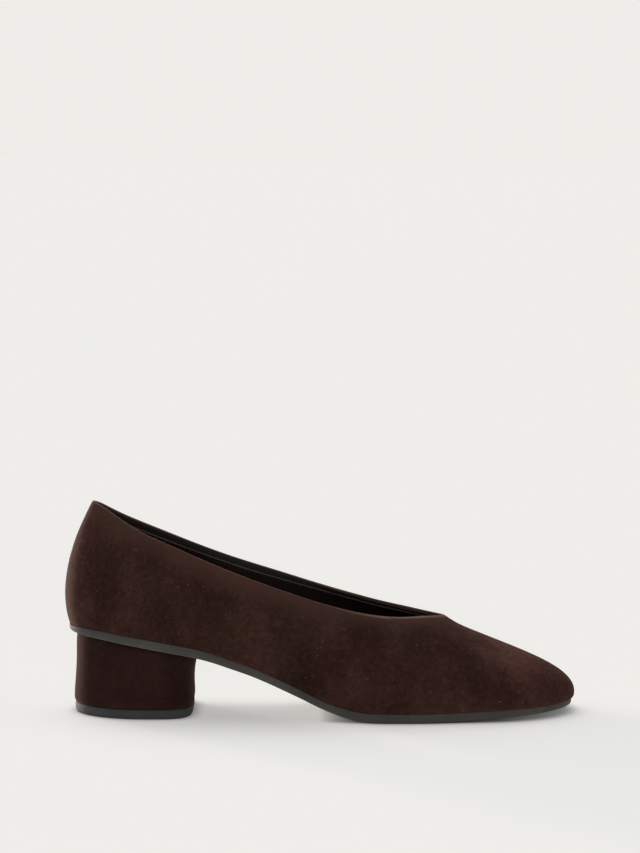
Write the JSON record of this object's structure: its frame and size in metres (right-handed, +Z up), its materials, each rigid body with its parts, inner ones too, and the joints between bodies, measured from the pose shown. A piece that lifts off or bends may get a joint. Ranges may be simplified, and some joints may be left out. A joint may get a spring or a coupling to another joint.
{
  "type": "block heel pump",
  "caption": "Low block heel pump for the right foot: hollow suede upper with a deep V throat, insole, thin full-length sole, covered round heel and rubber top lift.",
  "frame": {"origin": "on the floor, under the middle of the shoe's bounding box", "axes": "+X from the heel to the toe, +Y towards the inner side of the foot, +Z up"},
  "size_m": [0.2442, 0.079, 0.1011],
  "materials": {
    "suede_upper": "dark brown suede, short nap, matt",
    "sock_leather": "smooth black lining leather, satin",
    "sole_black": "black sole, satin trimmed edge",
    "suede_heel": "dark brown suede cover, short nap, matt",
    "lift_rubber": "black rubber, matt"
  },
  "bodies": {
    "root": {"upper": "suede_upper", "insole": "sock_leather", "outsole": "sole_black", "heel": "suede_heel", "top_lift": "lift_rubber"}
  },
  "joints": []
}
